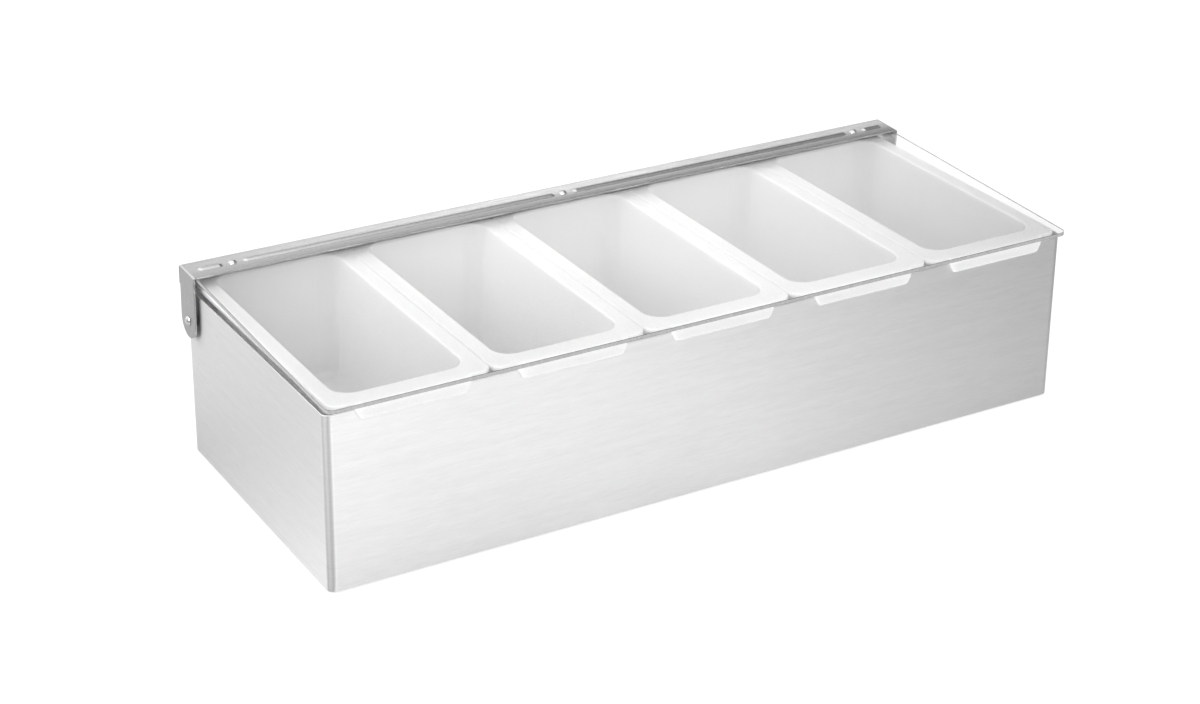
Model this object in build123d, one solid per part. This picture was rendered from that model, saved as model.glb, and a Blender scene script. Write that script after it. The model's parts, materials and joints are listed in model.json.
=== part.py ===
from build123d import *
import math
import os

# Condiment caddy: a steel box with a row of lift-out plastic inserts under one
# clear lid, which is riveted to a steel rail that swings on two end rivets.
# Millimetres. X runs left to right, Y front to back, Z up. The origin is the
# centre of the face that the box stands on.

# Steel box
box_length = 500.0
box_depth = 196.0
box_height = 109.0
box_sheet = 0.8
corner_radius = 5.0  # outside of the upright corners
edge_round = 0.3  # polished top edge of the sheet
lap_gap = 0.1  # between the wall and the base flange welded inside it
base_bend = 1.8  # outside radius of the bend under the base
base_flange = 14.0  # height of the turned-up flange
wall_lift = 1.0  # lower edge of the wall above the table

# Inserts
insert_count = 5
insert_gap = 0.4  # between two neighbours
end_gap = 2.7  # from the row to the inside of an end wall
insert_wall = 1.8
insert_depth = 82.0  # top of the rim to the underside of the floor
insert_draft = 2.5  # degrees on each wall
rim_rise = 3.0  # top of the rim above the edge that it hangs on
rim_side = 9.9  # width of the rim along the long sides
rim_front = 11.5
rim_back = 7.5
rim_corner = 7.0
rim_round = 0.8
mouth_corner = 12.0  # inside upright corners at the top
mouth_round = 1.0
floor_round = 8.0  # inside, where the walls meet the floor

# Finger tab on the front of each insert
tab_inset = 14.4  # from each side of the insert
tab_taper = 2.7  # on each side, down to the lower edge
tab_drop = 5.3  # below the top edge of the box
tab_thickness = 1.8
tab_gap = 1.1  # to the front of the box
tab_root = 1.5  # how far it reaches back into the wall of the rim
tab_corner = 3.0
tab_round = 1.4  # its rolled-over edge

# Pivots of the lid
pivot_drop = 19.5  # below the top edge of the box
pivot_shank = 4.0  # diameter
pivot_head = 6.6  # diameter
pivot_head_height = 1.9
pivot_run = 0.05  # radial clearance of the ear on the shank
pivot_play = 0.15  # end play on each face of the ear
pivot_fit = 0.05  # radial clearance of the fixed pieces on the shank
spacer_width = 7.0  # diameter
washer_width = 7.4  # diameter
washer_margin = 0.3  # from the washer to the bend of the back corner
washer_thickness = 0.8
tail_width = 6.0  # diameter of the closed end of a pivot rivet
tail_height = 1.5

# Hinge rail
rail_sheet = 1.0
rail_rise = 32.0  # top face above the pivot
rail_flange = 12.0  # height of the flange along the back
rail_bend = 1.6  # outside radius of the bends
rail_relief = 0.2  # between an ear and the back flange
ear_width = 21.2
ear_gap = 1.6  # between an ear and the end of the box
bead_width = 5.0
bead_rise = 1.2
bead_foot = 0.8  # radius where a bead runs out into the flat
bead_line = -0.2  # beads and rivets, from the pivot towards the back
bead_margin = 6.5  # from a bead to the middle of a rivet
end_bead = 15.5  # length of the short beads

# Lid panel and its rivets
panel_thickness = 2.4
panel_overhang = 4.5  # past the front of the box
panel_side_gap = 1.6  # to each ear
panel_back_gap = 0.6  # to the back flange
panel_corner = 5.0
panel_round = 0.4
lid_rest_gap = 0.3  # between the closed panel and the front rims
rivet_inset = 26.5  # from an outer rivet to the end of the box
rivet_shank = 3.2  # diameter
rivet_head = 5.6  # diameter
rivet_head_height = 1.7
rivet_fit = 0.1  # radial clearance of the holes
rivet_washer = 8.0  # diameter
rivet_tail = 5.0  # diameter
rivet_tail_height = 1.1
face_gap = 0.02  # between two faces that are pressed together

# Derived sizes
inner_length = box_length - 2 * box_sheet
insert_pitch = (inner_length - 2 * end_gap + insert_gap) / insert_count
insert_width = insert_pitch - insert_gap
tab_width = insert_width - 2 * tab_inset
rim_top = box_height + rim_rise
mouth_width = insert_width - 2 * rim_side
mouth_depth = box_depth - rim_front - rim_back
mouth_shift = (rim_front - rim_back) / 2  # middle of the mouth, behind that of the box
pivot_inset = corner_radius + washer_width / 2 + washer_margin
pivot_y = box_depth / 2 - pivot_inset
pivot_z = box_height - pivot_drop
ear_inside = box_length / 2 + ear_gap
ear_outside = ear_inside + rail_sheet
rail_front = -ear_width / 2
rail_back = ear_width / 2 + rail_relief + rail_sheet
panel_top = rail_rise - rail_sheet - face_gap
panel_under = panel_top - panel_thickness
panel_front = -(pivot_y + box_depth / 2 + panel_overhang)
panel_back = rail_back - rail_sheet - panel_back_gap
panel_half = ear_inside - panel_side_gap
rivet_spread = box_length / 2 - rivet_inset
bead_crown = bead_width**2 / (8 * bead_rise) + bead_rise / 2  # radius of a bead's back
bead_end = rivet_spread + bead_margin + end_bead

# The closed panel leans on the front rims, so the whole lid tips forward a little.
rim_reach = pivot_y + box_depth / 2
rim_over_pivot = rim_top - pivot_z
lid_tilt = math.degrees(
    math.asin((panel_under - lid_rest_gap) / math.hypot(rim_reach, rim_over_pivot))
    - math.atan2(rim_over_pivot, rim_reach)
)


def round_box(length, depth, radius):
    return RectangleRounded(length, depth, radius)


def close_lid(piece):
    """From the lid's own frame, level and with the pivot at the origin, to its closed place."""
    return Pos(0, pivot_y, pivot_z) * Rot(lid_tilt, 0, 0) * piece


def on_pivot(side, piece):
    """Turns a piece made along Z, outwards up, to the pivot at one end of the box."""
    return Pos(side * box_length / 2, pivot_y, pivot_z) * Rot(0, side * 90, 0) * piece


def edges_at(piece, height):
    return piece.edges().filter_by_position(Axis.Z, height - 0.01, height + 0.01)


def body_shell():
    tall = box_height - wall_lift
    outside = extrude(round_box(box_length, box_depth, corner_radius), tall)
    inside = extrude(
        round_box(
            inner_length, box_depth - 2 * box_sheet, corner_radius - box_sheet
        ),
        tall,
    )
    wall = Pos(0, 0, wall_lift) * (outside - inside)
    wall = fillet(edges_at(wall, box_height), edge_round)
    hole = Pos(0, pivot_y, pivot_z) * Rot(0, 90, 0)
    hole = hole * Cylinder(pivot_shank / 2 + pivot_fit, box_length + 2 * box_sheet)
    return wall - hole


def base_pan():
    lap = box_sheet + lap_gap
    length = box_length - 2 * lap
    depth = box_depth - 2 * lap
    radius = corner_radius - lap
    outside = extrude(round_box(length, depth, radius), base_flange)
    outside = fillet(edges_at(outside, 0), base_bend)
    inside = Pos(0, 0, box_sheet) * extrude(
        round_box(length - 2 * box_sheet, depth - 2 * box_sheet, radius - box_sheet),
        base_flange,
    )
    inside = fillet(edges_at(inside, box_sheet), base_bend - box_sheet)
    return outside - inside


def tub(width, depth, corner, drop, foot_round):
    """A drafted, round-cornered block that hangs down from the top of the rim."""
    block = extrude(round_box(width, depth, corner), -drop, taper=insert_draft)
    return fillet(edges_at(block, -drop), foot_round)


def finger_tab():
    """Front tab: it hooks over the box wall, and its edge rolls over all round."""
    reach = tab_gap + tab_thickness
    head = tab_width / 2
    foot = head - tab_taper
    low = -rim_rise - tab_drop
    face = Polygon(
        (-head, 0), (-head, -rim_rise), (-foot, low), (foot, low), (head, -rim_rise), (head, 0),
        align=None,
    )
    face = fillet(face.vertices().filter_by_position(Axis.Y, low, low), tab_corner)
    apron = Pos(0, tab_root, 0) * extrude(Plane.XZ * face, tab_root + reach)
    room = Box(
        tab_width,
        tab_root + tab_gap,
        tab_drop,
        align=(Align.CENTER, Align.MAX, Align.MAX),
    )
    apron = apron - Pos(0, tab_root, -rim_rise) * room
    front = apron.faces().sort_by(Axis.Y)[0]
    return Pos(0, -box_depth / 2, 0) * fillet(front.edges(), tab_round)


def insert(index):
    rim = extrude(round_box(insert_width, box_depth, rim_corner), -rim_rise)
    under = extrude(
        round_box(
            insert_width - 2 * insert_wall,
            box_depth - 2 * insert_wall,
            rim_corner - insert_wall,
        ),
        -rim_rise,
    )
    rim = fillet(edges_at(rim, 0), rim_round) - Pos(0, 0, -insert_wall) * under
    around = 2 * insert_wall
    body = tub(
        mouth_width + around,
        mouth_depth + around,
        mouth_corner + insert_wall,
        insert_depth,
        floor_round + insert_wall,
    )
    hollow = tub(
        mouth_width, mouth_depth, mouth_corner, insert_depth - insert_wall, floor_round
    )
    centred = Pos(0, mouth_shift, 0)
    piece = rim + centred * body + finger_tab() - centred * hollow
    mouth = [
        e
        for e in edges_at(piece, 0)
        if abs(e.center().X) < mouth_width / 2 + 0.1
        and abs(e.center().Y - mouth_shift) < mouth_depth / 2 + 0.1
    ]
    piece = fillet(mouth, mouth_round)
    middle = (index - (insert_count + 1) / 2) * insert_pitch
    return Pos(middle, 0, rim_top) * piece


def rivet(shank, head, head_height, grip, tail, tail_height):
    """A domed rivet along Z: the head above Z = 0, the grip and closed tail below."""
    dome_radius = (head * head / 4 + head_height * head_height) / (2 * head_height)
    edge = dome_radius - head_height
    slope = math.atan2(edge, head / 2)
    mid = (math.pi / 2 + slope) / 2
    dome = ThreePointArc(
        (0, head_height),
        (dome_radius * math.cos(mid), dome_radius * math.sin(mid) - edge),
        (head / 2, 0),
    )
    outline = [
        (head / 2, 0),
        (shank / 2, 0),
        (shank / 2, -grip),
        (tail / 2, -grip),
        (tail / 2 - tail_height / 3, -grip - tail_height),
        (0, -grip - tail_height),
        (0, head_height),
    ]
    face = make_face(dome + Polyline(*outline))
    return revolve(Plane.XZ * face, Axis.Z)


def hinge_rail():
    low = -ear_width / 2 - rail_sheet
    tall = rail_rise - low
    depth = rail_back - rail_front
    level = (Align.CENTER, Align.MIN, Align.MIN)
    block = Pos(0, rail_front, low) * Box(2 * ear_outside, depth, tall, align=level)
    bends = [e for e in edges_at(block, rail_rise) if e.center().Y > rail_front + 0.1]
    block = fillet(bends, rail_bend)
    room = Pos(0, rail_front - rail_sheet, low) * Box(
        2 * ear_inside, depth, tall - rail_sheet, align=level
    )
    under = rail_rise - rail_sheet
    bends = [e for e in edges_at(room, under) if e.center().Y > rail_front]
    room = fillet(bends, rail_bend - rail_sheet)
    # Kept: the top and back flange, and an ear with a round end about each pivot
    keep = Pos(0, rail_front, rail_rise - rail_flange) * Box(
        2 * ear_outside, depth, rail_flange, align=level
    )
    ear = Pos(0, ear_width / 2) * Rectangle(ear_width, ear_width) + Circle(ear_width / 2)
    ear = ear + Pos(0, rail_rise / 2) * Rectangle(ear_width, rail_rise)
    keep = keep + Pos(-ear_outside, 0, 0) * extrude(Plane.YZ * ear, 2 * ear_outside)
    rail = (block - room) & keep
    slit = Pos(0, ear_width / 2, 0) * Box(
        2 * ear_outside, rail_relief, rail_rise - rail_bend, align=level
    )
    rail = rail - slit
    for start, end in bead_spans():
        rail = rail + bead(start, end, bead_crown, rail_rise)
    feet = [
        e
        for e in edges_at(rail, rail_rise)
        if abs(e.center().Y - bead_line) < bead_width / 2 + 0.1
        and abs(e.center().X) < bead_end + 0.1
    ]
    rail = fillet(feet, bead_foot)
    for start, end in bead_spans():
        rail = rail - bead(start, end, bead_crown - rail_sheet, rail_rise - rail_sheet)
    for x in rivet_places():
        rail = rail - Pos(x, bead_line, rail_rise) * rivet_hole()
    pin = pivot_shank / 2 + pivot_run
    return rail - Rot(0, 90, 0) * Cylinder(pin, 2 * ear_outside + 2 * rail_sheet)


def rivet_places():
    return (-rivet_spread, 0.0, rivet_spread)


def rivet_hole():
    deep = rail_sheet + panel_thickness + washer_thickness
    return Cylinder(rivet_shank / 2 + rivet_fit, 4 * deep)


def bead_spans():
    """Start and end of each pressed bead along the rail, left to right."""
    right = [(bead_margin, rivet_spread - bead_margin), (rivet_spread + bead_margin, bead_end)]
    left = [(-end, -start) for start, end in reversed(right)]
    return left + right


def bead(start, end, crown, bottom):
    """A round-backed ridge with ball ends, as far as it stands above the sheet."""
    half = bead_width / 2
    span = end - start - bead_width
    ridge = Rot(0, 90, 0) * Cylinder(crown, span)
    ridge = ridge + Pos(-span / 2, 0, 0) * Sphere(crown) + Pos(span / 2, 0, 0) * Sphere(crown)
    sunk = bottom - math.sqrt(bead_crown**2 - half**2)
    above = Box(end - start, bead_width, 2 * bead_rise, align=(Align.CENTER, Align.CENTER, Align.MIN))
    middle = Pos((start + end) / 2, bead_line, 0)
    return middle * ((Pos(0, 0, sunk) * ridge) & (Pos(0, 0, bottom) * above))


def lid_panel():
    depth = panel_back - panel_front
    plate = Rectangle(2 * panel_half, depth)
    plate = fillet(plate.vertices().group_by(Axis.Y)[0], panel_corner)
    plate = Pos(0, (panel_back + panel_front) / 2, panel_under) * extrude(
        plate, panel_thickness
    )
    plate = fillet(plate.edges().group_by(Axis.Z)[-1], panel_round)
    plate = fillet(plate.edges().group_by(Axis.Z)[0], panel_round)
    for x in rivet_places():
        plate = plate - Pos(x, bead_line, panel_top) * rivet_hole()
    return close_lid(plate)


def lid_rivet(x):
    grip = rail_sheet + panel_thickness + washer_thickness + 4 * face_gap
    piece = rivet(
        rivet_shank, rivet_head, rivet_head_height, grip, rivet_tail, rivet_tail_height
    )
    return close_lid(Pos(x, bead_line, rail_rise + face_gap) * piece)


def washer(outside, hole, thickness):
    """A flat ring whose upper face is at Z = 0."""
    ring = Cylinder(outside / 2, thickness) - Cylinder(hole / 2, 2 * thickness)
    return Pos(0, 0, -thickness / 2) * ring


def lid_washer(x):
    ring = washer(rivet_washer, rivet_shank + 2 * rivet_fit, washer_thickness)
    return close_lid(Pos(x, bead_line, panel_under - face_gap) * ring)


def pivot_rivet(side):
    """Held in the end wall; the ear turns between its head and the spacer."""
    head_at = ear_gap + rail_sheet + pivot_play
    grip = head_at + box_sheet + washer_thickness + 2 * face_gap
    piece = rivet(
        pivot_shank, pivot_head, pivot_head_height, grip, tail_width, tail_height
    )
    return on_pivot(side, Pos(0, 0, head_at) * piece)


def pivot_spacer(side):
    hole = pivot_shank + 2 * pivot_fit
    height = ear_gap - pivot_play - face_gap
    ring = washer(spacer_width, hole, height)
    return on_pivot(side, Pos(0, 0, height + face_gap) * ring)


def pivot_washer(side):
    ring = washer(washer_width, pivot_shank + 2 * pivot_fit, washer_thickness)
    return on_pivot(side, Pos(0, 0, -box_sheet - face_gap) * ring)


parts = {
    "body_shell": body_shell(),
    "base_pan": base_pan(),
    "lid_panel": lid_panel(),
    "hinge_rail": close_lid(hinge_rail()),
}
for number in range(1, insert_count + 1):
    parts[f"insert_{number}"] = insert(number)
for name, x in zip(("left", "middle", "right"), rivet_places()):
    parts[f"lid_rivet_{name}"] = lid_rivet(x)
    parts[f"lid_washer_{name}"] = lid_washer(x)
for name, side in (("left", -1), ("right", 1)):
    parts[f"pivot_rivet_{name}"] = pivot_rivet(side)
    parts[f"pivot_spacer_{name}"] = pivot_spacer(side)
    parts[f"pivot_washer_{name}"] = pivot_washer(side)

os.makedirs("parts", exist_ok=True)
for name, piece in parts.items():
    piece.label = name
    export_step(piece, f"parts/{name}.step")
print(f"lid tilt when closed: {lid_tilt:.3f} degrees")
print(f"pivot: Y {pivot_y:.2f}, Z {pivot_z:.2f}")
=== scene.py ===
import json
import math
import bpy
from mathutils import Matrix, Vector


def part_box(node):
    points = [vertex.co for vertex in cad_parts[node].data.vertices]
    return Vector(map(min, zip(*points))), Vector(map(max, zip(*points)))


# Steel condiment caddy under one clear hinged lid. Metres, in the CAD model's frame:
# X along the row of inserts, -Y to the front, Z up from the face it stands on.

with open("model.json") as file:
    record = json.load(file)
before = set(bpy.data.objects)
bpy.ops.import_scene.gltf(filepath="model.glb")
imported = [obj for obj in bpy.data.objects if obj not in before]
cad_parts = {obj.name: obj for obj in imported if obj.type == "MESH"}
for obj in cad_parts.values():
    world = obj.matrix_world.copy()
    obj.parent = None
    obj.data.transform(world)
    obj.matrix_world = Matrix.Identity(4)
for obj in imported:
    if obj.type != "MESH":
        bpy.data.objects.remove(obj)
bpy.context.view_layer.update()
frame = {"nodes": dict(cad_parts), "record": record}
nodes = frame["nodes"]
print("frame loaded,", len(nodes), "pieces")


class Num:  # a number in a shader, so that sums on it become Math nodes
    def __init__(self, graph, socket):
        self.graph = graph
        self.socket = socket

    def maths(self, operation, first, second, clamp=False):
        settings = {"operation": operation, "use_clamp": clamp}
        node = self.graph.add("Math", settings, {0: first, 1: second})
        return Num(self.graph, node.outputs[0])

    def __add__(self, other):
        return self.maths("ADD", self, other)

    def __radd__(self, other):
        return self.maths("ADD", other, self)

    def __sub__(self, other):
        return self.maths("SUBTRACT", self, other)

    def __rsub__(self, other):
        return self.maths("SUBTRACT", other, self)

    def __mul__(self, other):
        return self.maths("MULTIPLY", self, other)

    def __rmul__(self, other):
        return self.maths("MULTIPLY", other, self)

    def __truediv__(self, other):
        return self.maths("DIVIDE", self, other)

    def __gt__(self, other):
        return self.maths("GREATER_THAN", self, other)

    def __abs__(self):
        return self.maths("ABSOLUTE", self, 0.0)

    def __pow__(self, other):
        return self.maths("POWER", self, other)

    def most(self, other):
        return self.maths("MAXIMUM", self, other)

    def between(self, low, high):  # 0 at low, 1 at high, held outside
        return self.maths("DIVIDE", self - low, high - low, clamp=True)


class Graph:  # the node tree of a material or of the world
    def __init__(self, tree, output):
        self.tree = tree
        self.tree.nodes.clear()
        self.output = self.add(output)

    def add(self, kind, settings=None, inputs=None):
        node = self.tree.nodes.new("ShaderNode" + kind)
        for key, value in (settings or {}).items():
            setattr(node, key, value)
        for key, value in (inputs or {}).items():
            if isinstance(value, Num):
                value = value.socket
            if isinstance(value, bpy.types.NodeSocket):
                self.tree.links.new(value, node.inputs[key])
            else:
                node.inputs[key].default_value = value
        return node

    def number(self, kind, output, settings=None, inputs=None):
        return Num(self, self.add(kind, settings, inputs).outputs[output])

    def place(self):  # the piece's own x, y and z, in metres
        coords = self.add("TexCoord").outputs["Object"]
        split = self.add("SeparateXYZ", None, {0: coords})
        return [Num(self, split.outputs[i]) for i in range(3)]

    def point(self, x, y, z):
        return self.add("CombineXYZ", None, {0: x, 1: y, 2: z}).outputs[0]

    def noise(self, point, scale=1.0, detail=2.0, rough=0.5):
        inputs = {"Vector": point, "Scale": scale, "Detail": detail, "Roughness": rough}
        return self.number("TexNoise", "Fac", None, inputs)

    def blend(self, factor, first, second):  # two colours
        node = self.add("Mix", {"data_type": "RGBA"}, {0: factor, 6: first, 7: second})
        return node.outputs[2]

    def along(self, vector, direction):  # how far a vector reaches along a unit direction
        inputs = {0: vector, 1: direction}
        return self.number("VectorMath", "Value", {"operation": "DOT_PRODUCT"}, inputs)

    def bump(self, height, strength, distance):
        inputs = {"Height": height, "Strength": strength, "Distance": distance}
        return self.add("Bump", None, inputs).outputs[0]

    # 1 between two bearings, 0 outside: "wide" is the half width, "soft" the fade past it
    def sector(self, x, y, look):
        bearing = math.radians(look["bearing"])
        inner = math.cos(math.radians(look["wide"]))
        outer = math.cos(math.radians(look["wide"] + look["soft"]))
        tiny = 0.000001
        reach = (x * x + y * y).most(tiny) ** 0.5
        facing = (x * math.sin(bearing) - y * math.cos(bearing)) / reach
        return facing.between(outer, inner)

    # Two masks: what metal mirrors, and what the eye sees straight or through the clear
    # sheet. A ray through the sheet counts as glossy too, so its depths tell it apart.
    def rays(self):
        path = self.add("LightPath")
        camera = Num(self, path.outputs["Is Camera Ray"])
        glossy = Num(self, path.outputs["Is Glossy Ray"])
        through = Num(self, path.outputs["Is Transmission Ray"])
        scattered = Num(self, path.outputs["Diffuse Depth"]) > 0.5
        bounced = Num(self, path.outputs["Glossy Depth"]) > 0.5
        through = through * (1 - scattered)
        mirrored = glossy * (1 - through.most(scattered)) + through * bounced
        return mirrored, camera.most(through * (1 - bounced))

    def finish(self, shader):
        self.tree.links.new(shader.outputs[0], self.output.inputs["Surface"])


def newMaterial(name):
    material = bpy.data.materials.new(name)
    material.use_nodes = True
    return material, Graph(material.node_tree, "OutputMaterial")


def shade(level):  # a grey as a colour
    return (level, level, level, 1.0)


def mixed(first, second, share):  # two numbers, with this share of the second
    return first * (1 - share) + second * share


usualNoise = (0.3, 0.7)  # most of what a noise gives lies between these
brushNoise = {"detail": 3.0, "rough": 0.65}

# Brushed box: short fine lines run round the walls, level with the table
boxSteel = {
    "light": 0.95,
    "dark": 0.88,
    "roughness": 0.43,
    "roughnessSpread": 0.05,
    "linesPerMetre": 1500,
    "lineLength": 0.012,
    "streaksPerMetre": 300,
    "streakLength": 0.060,
    "streakShare": 0.3,
    "contrast": (0.36, 0.64),  # darkest and lightest line, as values of the noise
    "cloudsPerMetre": 7.0,
    "cloudShare": 0.2,
    "stretched": 0.85,  # how far a highlight spreads across the lines
    "stretchTurn": 0.25,
    "bump": 0.10,
    "lineHeight": 0.00005,
}


def boxSteelMaterial():
    look = boxSteel
    material, g = newMaterial("brushedBox")
    x, y, z = g.place()
    short = 1.0 / look["lineLength"]
    long = 1.0 / look["streakLength"]
    fine = g.noise(g.point(x * short, y * short, z * look["linesPerMetre"]), **brushNoise)
    streaks = g.noise(g.point(x * long, y * long, z * look["streaksPerMetre"]))
    cloud = g.noise(g.point(x, y, z), scale=look["cloudsPerMetre"])
    lines = mixed(fine, streaks, look["streakShare"])
    tone = mixed(lines.between(*look["contrast"]), cloud.between(*usualNoise), look["cloudShare"])
    g.finish(g.add("BsdfPrincipled", None, {
        "Base Color": g.blend(tone, shade(look["dark"]), shade(look["light"])),
        "Metallic": 1.0,
        "Roughness": look["roughness"] + (1 - tone) * look["roughnessSpread"],
        "Anisotropic": look["stretched"],
        "Anisotropic Rotation": look["stretchTurn"],
        "Normal": g.bump(lines, look["bump"], look["lineHeight"]),
    }))
    return material


# Rail: lines run along the strip, and so down the ears at its ends. Pressing the beads
# has left the strip slightly crowned from front to back.
railSteel = {
    "light": 0.80,
    "dark": 0.65,
    "roughness": 0.22,
    "roughnessSpread": 0.10,
    "linesPerMetre": 1900,
    "lineLength": 0.016,
    "contrast": (0.34, 0.66),
    "cloudsPerMetre": 14.0,
    "cloudShare": 0.2,
    "lineHeight": 0.00001,
    "earSkin": 0.0004,  # an ear begins this far inside the rail's end
    "earShare": 0.69,  # the ears get a darker base colour by this share
    "crownAt": 0.0926,
    "crown": 4.0,  # height per square metre
}


def railSteelMaterial():
    look = railSteel
    material, g = newMaterial("brushedRail")
    x, y, z = g.place()
    along = 1.0 / look["lineLength"]
    across = look["linesPerMetre"]
    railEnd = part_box("hinge_rail")[1][0]
    onEar = abs(x) > railEnd - look["earSkin"]
    height = z * (onEar * along + (1 - onEar) * across)
    fine = g.noise(g.point(x * along, y * across, height), **brushNoise)
    cloud = g.noise(g.point(x, y, z), scale=look["cloudsPerMetre"])
    tone = mixed(fine.between(*look["contrast"]), cloud.between(*usualNoise), look["cloudShare"])
    crowned = (y - look["crownAt"]) ** 2.0 * (-look["crown"]) * (1 - onEar)
    # The ears only get a darker base colour; their roughness stays as on the strip
    earDarkening = look["earShare"]
    strip = g.blend(tone, shade(look["dark"]), shade(look["light"]))
    ear = g.blend(tone, shade(look["dark"] * earDarkening), shade(look["light"] * earDarkening))
    g.finish(g.add("BsdfPrincipled", None, {
        "Base Color": g.blend(onEar, strip, ear),
        "Metallic": 1.0,
        "Roughness": look["roughness"] + (1 - tone) * look["roughnessSpread"],
        "Normal": g.bump(crowned + fine * look["lineHeight"], 1.0, 1.0),
    }))
    return material


# Rivets and washers: tumbled bright, with the small dents of the setting tool
rivetSteel = {
    "light": 0.86,
    "dark": 0.70,
    "roughness": 0.16,
    "roughnessSpread": 0.12,
    "dentsPerMetre": 900.0,
    "contrast": (0.35, 0.65),
    "grainPerMetre": 5200.0,
    "grainDetail": 3.0,
    "grainShare": 0.3,
    "bump": 0.3,
    "dentHeight": 0.00008,
}


def rivetSteelMaterial():
    look = rivetSteel
    material, g = newMaterial("brightRivet")
    place = g.point(*g.place())
    dents = g.noise(place, scale=look["dentsPerMetre"])
    grain = g.noise(place, scale=look["grainPerMetre"], detail=look["grainDetail"])
    tone = dents.between(*look["contrast"])
    g.finish(g.add("BsdfPrincipled", None, {
        "Base Color": g.blend(tone, shade(look["dark"]), shade(look["light"])),
        "Metallic": 1.0,
        "Roughness": look["roughness"] + grain * look["roughnessSpread"],
        "Normal": g.bump(mixed(dents, grain, look["grainShare"]), look["bump"], look["dentHeight"]),
    }))
    return material


# Inserts: smooth moulded plastic, satin, faintly rippled where it cooled. Light sinks a
# few millimetres into it.
insertPlastic = {
    "light": 0.97,
    "dark": 0.955,
    "roughness": 0.21,
    "roughnessSpread": 0.10,
    "ior": 1.49,
    "glow": 1.0,
    "glowColours": (1.0, 1.0, 1.0),
    "glowDepth": 0.006,
    "skinPerMetre": 1900.0,
    "ripplesPerMetre": 38.0,
    "rippleShare": 0.75,
    "bump": 0.12,
    "rippleHeight": 0.0004,
}


def insertPlasticMaterial():
    look = insertPlastic
    material, g = newMaterial("whitePlastic")
    place = g.point(*g.place())
    ripple = g.noise(place, scale=look["ripplesPerMetre"])
    skin = g.noise(place, scale=look["skinPerMetre"])
    tone = ripple.between(*usualNoise)
    g.finish(g.add("BsdfPrincipled", None, {
        "Base Color": g.blend(tone, shade(look["dark"]), shade(look["light"])),
        "Roughness": look["roughness"] + skin.between(*usualNoise) * look["roughnessSpread"],
        "IOR": look["ior"],
        "Subsurface Weight": look["glow"],
        "Subsurface Radius": look["glowColours"],
        "Subsurface Scale": look["glowDepth"],
        "Normal": g.bump(mixed(skin, ripple, look["rippleShare"]), look["bump"], look["rippleHeight"]),
    }))
    return material


# Lid panel: clear cast sheet with a trace of polishing haze. Its saw-cut edges are frosted.
lidSheet = {
    "tint": 0.99,
    "passes": 0.94,  # of the light that casts its shadow
    "ior": 1.49,
    "roughness": 0.01,
    "haze": 0.03,
    "smearsPerMetre": 16.0,
    "smearStretch": 0.5,
    "smearDetail": 4.0,
    "smearContrast": (0.5, 0.8),
    "edgeLight": 0.45,
    "edgeDark": 0.37,
    "edgeRoughness": 0.45,
    "edgeRoughnessSpread": 0.1,
    "flatTo": 0.80,  # the faces are clear to here, as the upright share of the normal
    "edgeFrom": 0.55,
    "sawMarksPerMetre": 900,
    "sawMarksUpwards": 225,
    "sawContrast": (0.35, 0.65),
    "sawBump": 0.3,
    "sawDepth": 0.00008,
}


def lidSheetMaterial():
    look = lidSheet
    material, g = newMaterial("clearSheet")
    x, y, z = g.place()
    smearPlace = g.point(x * look["smearStretch"], y, z)
    smear = g.noise(smearPlace, scale=look["smearsPerMetre"], detail=look["smearDetail"])
    sheet = g.add("BsdfPrincipled", None, {
        "Base Color": shade(look["tint"]),
        "Roughness": look["roughness"] + smear.between(*look["smearContrast"]) * look["haze"],
        "IOR": look["ior"],
        "Transmission Weight": 1.0,
    })
    marks = look["sawMarksPerMetre"]
    saw = g.noise(g.point(x * marks, y * marks, z * look["sawMarksUpwards"]))
    tone = saw.between(*look["sawContrast"])
    frosted = g.add("BsdfPrincipled", None, {
        "Base Color": g.blend(tone, shade(look["edgeDark"]), shade(look["edgeLight"])),
        "Roughness": look["edgeRoughness"] + saw * look["edgeRoughnessSpread"],
        "IOR": look["ior"],
        "Normal": g.bump(saw, look["sawBump"], look["sawDepth"]),
    })
    normal = g.add("TexCoord").outputs["Normal"]
    upright = abs(g.along(normal, (0.0, 0.0, 1.0)))
    onEdge = upright.between(look["flatTo"], look["edgeFrom"])
    surface = g.add("MixShader", None, {0: onEdge, 1: sheet.outputs[0], 2: frosted.outputs[0]})
    clear = g.add("BsdfTransparent", None, {"Color": shade(look["passes"])})
    shadowRay = g.number("LightPath", "Is Shadow Ray")
    g.finish(g.add("MixShader", None, {0: shadowRay, 1: surface.outputs[0], 2: clear.outputs[0]}))
    return material


# Pivot spacers: black moulded nylon
spacerNylon = {
    "light": 0.05,
    "dark": 0.02,
    "roughness": 0.42,
    "roughnessSpread": 0.2,
    "grainPerMetre": 2400.0,
    "grainDetail": 3.0,
    "bump": 0.2,
    "grainHeight": 0.0001,
}


def spacerNylonMaterial():
    look = spacerNylon
    material, g = newMaterial("blackNylon")
    place = g.point(*g.place())
    grain = g.noise(place, scale=look["grainPerMetre"], detail=look["grainDetail"])
    tone = grain.between(*usualNoise)
    g.finish(g.add("BsdfPrincipled", None, {
        "Base Color": g.blend(tone, shade(look["dark"]), shade(look["light"])),
        "Roughness": look["roughness"] + grain * look["roughnessSpread"],
        "Normal": g.bump(grain, look["bump"], look["grainHeight"]),
    }))
    return material


finishes = {
    "box_steel": boxSteelMaterial(),
    "rail_steel": railSteelMaterial(),
    "rivet_steel": rivetSteelMaterial(),
    "insert_white": insertPlasticMaterial(),
    "lid_clear": lidSheetMaterial(),
    "spacer_black": spacerNylonMaterial(),
}
for part in frame["record"]["subparts"]:
    for slot in nodes[part["node"]].material_slots:
        slot.material = finishes[part["material_slot"]]
print("materials on,", len(finishes), "finishes")
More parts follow.
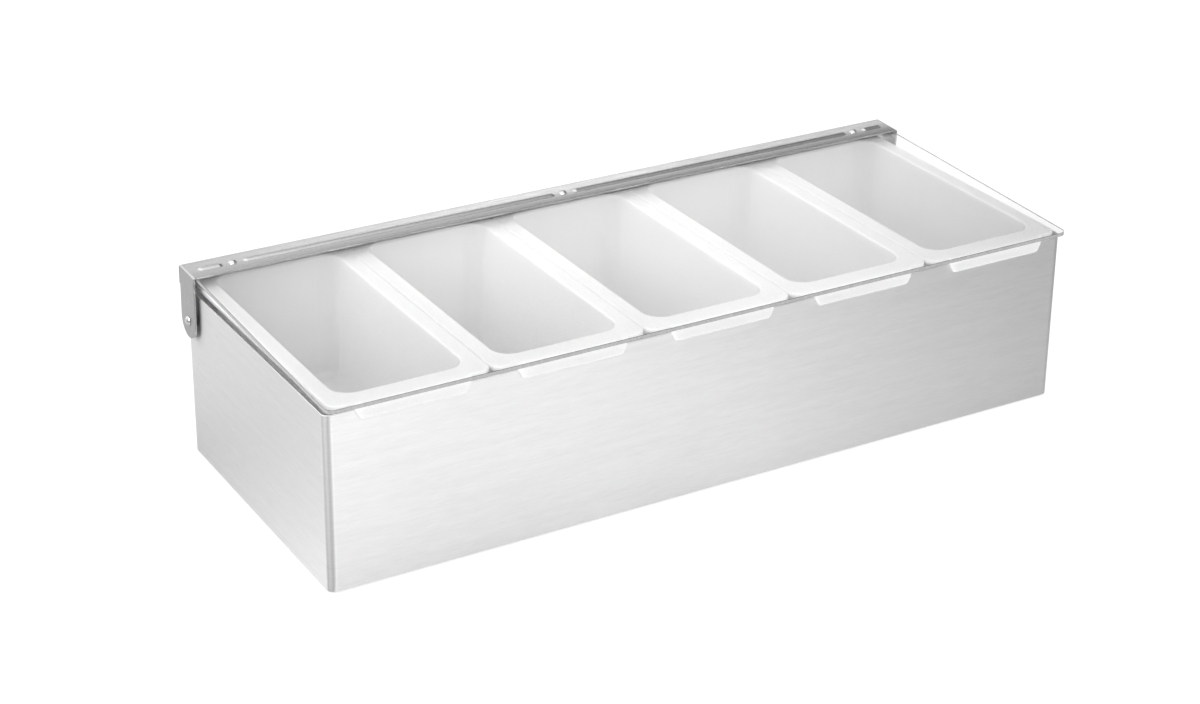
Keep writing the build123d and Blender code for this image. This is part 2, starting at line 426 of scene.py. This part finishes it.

# Floor: white paper that keeps the object's soft shadow. What metal mirrors of it has painted shade:
# darker to the right, to the back, close round the box and off its front left corner.
# A share is how much darker. Bearings are in degrees from the front towards the right.
floorLook = {
    "size": 12.0,
    "below": 0.0002,
    "paper": 0.80,
    "seenPaper": 0.30,
    "seenGlow": 0.75,
    "mirroredPaper": 0.66,
    "mirroredGlow": 0.57,
    "right": {"from": 0.04, "to": 0.46, "share": 0.70},
    "back": {"from": -0.08, "to": 0.10, "share": 0.46},
    "near": {"reach": 0.20, "share": 0.37},
    "corner": {"inset": 0.002, "bearing": -60, "wide": 50, "soft": 20, "share": 0.66},
}


# Painted shade in the floor as metal mirrors it: to the right, to the back, round the box and off its
# corner
def mirroredFloor(g):  # how much of its light the floor keeps in a mirror
    x, y, z = g.place()
    boxLow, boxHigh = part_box("body_shell")
    right = floorLook["right"]
    back = floorLook["back"]
    near = floorLook["near"]
    corner = floorLook["corner"]
    kept = 1 - x.between(right["from"], right["to"]) * right["share"]
    kept = kept * (1 - y.between(back["from"], back["to"]) * back["share"])
    offX = (abs(x) - boxHigh[0]).most(0.0)
    offY = (abs(y) - boxHigh[1]).most(0.0)
    off = (offX * offX + offY * offY) ** 0.5
    kept = kept * (1 - off.between(near["reach"], 0.0) * near["share"])
    fromX = x - (boxLow[0] + corner["inset"])
    fromY = y - (boxLow[1] + corner["inset"])
    return kept * (1 - g.sector(fromX, fromY, corner) * corner["share"])


def makeFloor():
    look = floorLook
    bpy.ops.mesh.primitive_plane_add(size=look["size"], location=(0, 0, -look["below"]))
    floor = bpy.context.object
    floor.name = "floor"
    material, g = newMaterial("floorPaper")
    mirrored, seen = g.rays()
    kept = mirroredFloor(g)

    def lit(colour, glow):  # shaded paper with a glow of its own
        paper = g.add("BsdfDiffuse", None, {"Color": colour})
        light = g.add("Emission", None, {"Color": shade(1.0), "Strength": glow})
        return g.add("AddShader", None, {0: paper.outputs[0], 1: light.outputs[0]}).outputs[0]

    white = lit(shade(look["seenPaper"]), look["seenGlow"])
    mirrorColour = g.blend(kept, shade(0.0), shade(look["mirroredPaper"]))
    mirror = lit(mirrorColour, kept * look["mirroredGlow"])
    paper = g.add("BsdfDiffuse", None, {"Color": shade(look["paper"])}).outputs[0]
    other = g.add("MixShader", None, {0: seen, 1: paper, 2: white}).outputs[0]
    g.finish(g.add("MixShader", None, {0: mirrored, 1: other, 2: mirror}))
    floor.data.materials.append(material)


# The studio round it: white paper up to a low height, then a ceiling, dark to the right
# and bright elsewhere. Heights are sines of the angle above level. A place is darker by
# its share, or brighter where the share is below 0.
worldLook = {
    "seen": 1.0,
    "light": 1.05,
    "horizon": 1.0,
    "ceiling": {"from": 0.42, "to": 0.74, "dark": 0.18, "brighter": 1.05},
    "ceilingSplit": (0.44, 0.35),  # dark above the first sideways share, bright below the second
    "lowFade": 0.05,
    "highFade": 0.04,
    "places": {
        "besideCamera": {"bearing": -70, "wide": 20, "soft": 35, "low": -1.0, "high": 0.6, "share": 0.65},
        "right": {"bearing": 90, "wide": 35, "soft": 45, "low": -1.0, "high": 0.7, "share": 0.55},
        "behindLeft": {"bearing": -150, "wide": 25, "soft": 15, "low": 0.15, "high": 0.5, "share": -0.15},
        "behind": {"bearing": 155, "wide": 25, "soft": 20, "low": -1.0, "high": 1.5, "share": 0.32},
        "backWindow": {"bearing": 148.5, "wide": 3, "soft": 8, "low": 0.36, "high": 0.49, "share": -3.2},
        "backRight": {"bearing": 135, "wide": 15, "soft": 8, "low": 0.52, "high": 0.8, "share": 0.30},
    },
}


def makeWorld():
    look = worldLook
    world = bpy.data.worlds.new("studio")
    bpy.context.scene.world = world
    world.use_nodes = True
    g = Graph(world.node_tree, "OutputWorld")
    mirrored, seen = g.rays()
    towards = g.add("TexCoord").outputs["Generated"]
    x, y, up = (g.along(towards, axis) for axis in ((1, 0, 0), (0, 1, 0), (0, 0, 1)))
    ceiling = look["ceiling"]
    overhead = ceiling["dark"] + x.between(*look["ceilingSplit"]) * ceiling["brighter"]
    raised = up.between(ceiling["from"], ceiling["to"])
    studio = look["horizon"] - raised * (look["horizon"] - overhead)
    lowFade = look["lowFade"]
    highFade = look["highFade"]
    for place in look["places"].values():
        mask = g.sector(x, y, place)
        mask = mask * up.between(place["low"] - lowFade, place["low"] + lowFade)
        mask = mask * up.between(place["high"] + highFade, place["high"] - highFade)
        studio = studio * (1 - mask * place["share"])
    strength = look["light"] + mirrored * (studio - look["light"])
    strength = strength + seen * (look["seen"] - look["light"])
    g.finish(g.add("Background", None, {"Color": shade(1.0), "Strength": strength}))


# Lamps, all turned to one point. The top one shows in no mirror.
lampAim = (0.0, 0.0, 0.06)
lamps = {
    "keyLamp": {"at": (-1.20, -0.35, 0.95), "size": (0.9, 0.9), "watts": 7.2, "mirrored": True},
    "topLamp": {"at": (-0.50, 0.10, 1.55), "size": (1.3, 1.0), "watts": 2.3, "mirrored": False},
    "frontLamp": {"at": (-0.30, -1.70, 0.60), "size": (1.4, 0.6), "watts": 2.0, "mirrored": True},
}


def makeLamps():
    for name, look in lamps.items():
        data = bpy.data.lights.new(name, "AREA")
        data.shape = "RECTANGLE"
        data.size, data.size_y = look["size"]
        data.energy = look["watts"]
        lamp = bpy.data.objects.new(name, data)
        lamp.location = look["at"]
        lamp.visible_glossy = look["mirrored"]
        towardsAim = Vector(lampAim) - lamp.location
        lamp.rotation_euler = towardsAim.to_track_quat("-Z", "Y").to_euler()
        bpy.context.scene.collection.objects.link(lamp)


# Camera at the photograph's angle, from the left and above
cameraLook = {
    "azimuth": -30.355,
    "elevation": 23.116,
    "roll": 0.525,
    "distance": 1.5252,
    "aim": (-0.0240, 0.0, 0.1324),
    "sensor": 36.0,
    "lens": 76.63,
    "shiftUp": -0.1,
}


def makeCamera():
    look = cameraLook
    turn, rise, roll = (math.radians(look[key]) for key in ("azimuth", "elevation", "roll"))
    level = math.cos(rise)
    back = Vector((math.sin(turn) * level, -math.cos(turn) * level, math.sin(rise)))
    right = Vector((0, 0, 1)).cross(back).normalized()
    up = back.cross(right)
    tiltedRight = math.cos(roll) * right + math.sin(roll) * up
    tiltedUp = math.cos(roll) * up - math.sin(roll) * right
    data = bpy.data.cameras.new("camera")
    data.sensor_width = look["sensor"]
    data.lens = look["lens"]
    data.shift_y = look["shiftUp"]
    camera = bpy.data.objects.new("camera", data)
    place = Matrix.Translation(Vector(look["aim"]) + look["distance"] * back)
    camera.matrix_world = place @ Matrix((tiltedRight, tiltedUp, back)).transposed().to_4x4()
    bpy.context.scene.collection.objects.link(camera)
    bpy.context.scene.camera = camera


makeFloor()
makeWorld()
makeLamps()
makeCamera()
bpy.context.scene.view_settings.view_transform = "Standard"
print("stage, lamps and camera ready")
